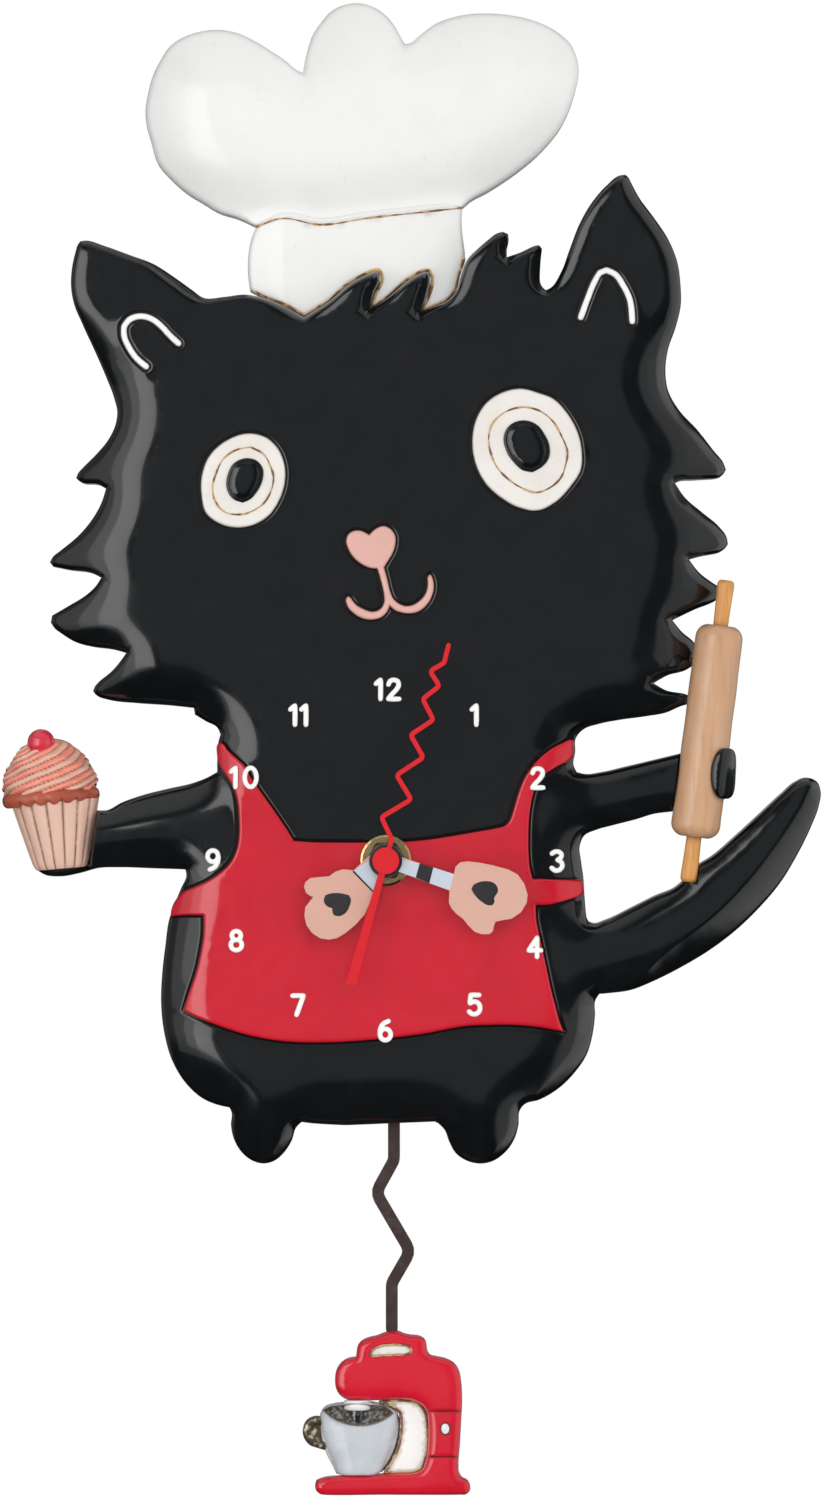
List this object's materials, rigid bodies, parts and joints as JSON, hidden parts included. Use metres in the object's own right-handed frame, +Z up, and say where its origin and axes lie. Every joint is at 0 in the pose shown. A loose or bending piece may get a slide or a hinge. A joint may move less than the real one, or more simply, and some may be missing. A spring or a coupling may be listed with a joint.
{
  "type": "novelty pendulum wall clock",
  "caption": "Resin wall clock cast as a black cat in a chef's hat and apron, with numbers on its body, three hands and a mixer swinging as the pendulum.",
  "frame": {"origin": "top of the nail the clock hangs on, under the middle notch of the hanger strip, in the wall's plane", "axes": "+X to the viewer's right, +Y into the wall, +Z up; the front faces -Y"},
  "size_m": [0.2458, 0.036, 0.4482],
  "materials": {
    "black_paint": "gloss black paint over cast resin",
    "white_paint": "satin white paint with brown antiquing in the hollows",
    "red_paint": "gloss red paint over cast resin",
    "eye_white": "gloss off-white paint",
    "pink_paint": "satin dusty pink paint",
    "cup_tan": "satin pinkish tan paint with dark brown antiquing in the flutes",
    "frosting_pink": "gloss coral pink paint",
    "cherry_red": "gloss cherry red paint",
    "barrel_tan": "satin tan paint, streaked lengthways",
    "handle_orange": "satin amber paint",
    "hand_enamel": "printed pink, grey and black enamel on sheet metal",
    "red_enamel": "red enamel",
    "brass": "bright turned brass",
    "steel": "bare steel",
    "dark_steel": "dark brown lacquered steel",
    "silver_paint": "silver paint",
    "black_rubber": "black rubber",
    "case_plastic": "black moulded plastic",
    "wheel_plastic": "natural moulded plastic",
    "copper_wire": "enamelled copper wire",
    "board_green": "green solder mask",
    "cell_jacket": "plain blue jacket"
  },
  "bodies": {
    "clock_body": {"cat_body": "black_paint", "pupil_left": "black_paint", "pupil_right": "black_paint", "paw_thumb": "black_paint", "chef_hat": "white_paint", "ear_mark_left": "white_paint", "ear_mark_right": "white_paint", "numeral_01": "white_paint", "numeral_02": "white_paint", "numeral_03": "white_paint", "numeral_04": "white_paint", "numeral_05": "white_paint", "numeral_06": "white_paint", "numeral_07": "white_paint", "numeral_08": "white_paint", "numeral_09": "white_paint", "numeral_10": "white_paint", "numeral_11": "white_paint", "numeral_12": "white_paint", "apron": "red_paint", "eye_left": "eye_white", "eye_right": "eye_white", "nose_and_mouth": "pink_paint", "cupcake_cup": "cup_tan", "cupcake_top": "frosting_pink", "cherry": "cherry_red", "rolling_pin_barrel": "barrel_tan", "rolling_pin_rod": "handle_orange", "threaded_post": "brass", "face_washer": "brass", "hex_nut": "brass", "train_bridge": "brass", "stator": "steel", "contact_positive": "steel", "contact_negative": "steel", "wall_hanger": "steel", "rubber_washer": "black_rubber", "movement_case": "case_plastic", "movement_cover": "case_plastic", "drive_coil": "copper_wire", "pendulum_coil": "copper_wire", "circuit_board": "board_green", "battery": "cell_jacket"},
    "second_hand_group": {"second_hand": "red_enamel", "second_wheel": "wheel_plastic"},
    "minute_hand_group": {"minute_hand": "hand_enamel", "minute_wheel": "wheel_plastic"},
    "hour_hand_group": {"hour_hand": "hand_enamel", "hour_wheel": "wheel_plastic"},
    "third_wheel_group": {"third_wheel": "wheel_plastic"},
    "step_wheel_group": {"step_wheel": "wheel_plastic"},
    "rotor_group": {"rotor": "wheel_plastic"},
    "reverse_wheel_group": {"reverse_wheel": "wheel_plastic"},
    "setting_knob_group": {"setting_knob": "wheel_plastic"},
    "pendulum": {"pendulum_lever": "case_plastic", "pendulum_rod": "dark_steel", "mixer_body": "red_paint", "mixer_bowl": "silver_paint", "mixer_panel": "white_paint", "mixer_beater": "steel"}
  },
  "joints": [
    {"name": "second_spin", "type": "hinge", "parent": "clock_body", "child": "second_hand_group", "pos_m": [0, -0.0345, -0.145], "axis": [0, 1, 0], "continuous": true},
    {"name": "minute_spin", "type": "hinge", "parent": "clock_body", "child": "minute_hand_group", "pos_m": [0, -0.0329, -0.145], "axis": [0, 1, 0], "continuous": true},
    {"name": "hour_spin", "type": "hinge", "parent": "clock_body", "child": "hour_hand_group", "pos_m": [0, -0.0312, -0.145], "axis": [0, 1, 0], "continuous": true},
    {"name": "third_spin", "type": "hinge", "parent": "clock_body", "child": "third_wheel_group", "pos_m": [0.0059, -0.0076, -0.13797], "axis": [0, 1, 0], "continuous": true},
    {"name": "step_spin", "type": "hinge", "parent": "clock_body", "child": "step_wheel_group", "pos_m": [-0.00648, -0.005, -0.145], "axis": [0, 1, 0], "continuous": true},
    {"name": "rotor_spin", "type": "hinge", "parent": "clock_body", "child": "rotor_group", "pos_m": [-0.01157, -0.0035, -0.14206], "axis": [0, 1, 0], "continuous": true},
    {"name": "reverse_spin", "type": "hinge", "parent": "clock_body", "child": "reverse_wheel_group", "pos_m": [-0.00514, -0.0108, -0.13887], "axis": [0, 1, 0], "continuous": true},
    {"name": "knob_spin", "type": "hinge", "parent": "clock_body", "child": "setting_knob_group", "pos_m": [0.00755, -0.0094, -0.15134], "axis": [0, 1, 0], "continuous": true},
    {"name": "pendulum_swing", "type": "hinge", "parent": "clock_body", "child": "pendulum", "pos_m": [0.0018, -0.0087, -0.183], "axis": [0, 1, 0], "range_deg": [-8, 8]}
  ],
  "couplings": [
    {"joint": "minute_spin", "follows": "second_spin", "ratio": 0.016667},
    {"joint": "hour_spin", "follows": "second_spin", "ratio": 0.0013889},
    {"joint": "third_spin", "follows": "second_spin", "ratio": -0.13333},
    {"joint": "step_spin", "follows": "second_spin", "ratio": -5},
    {"joint": "rotor_spin", "follows": "second_spin", "ratio": 30},
    {"joint": "reverse_spin", "follows": "second_spin", "ratio": -0.0055556},
    {"joint": "knob_spin", "follows": "second_spin", "ratio": -0.08}
  ]
}
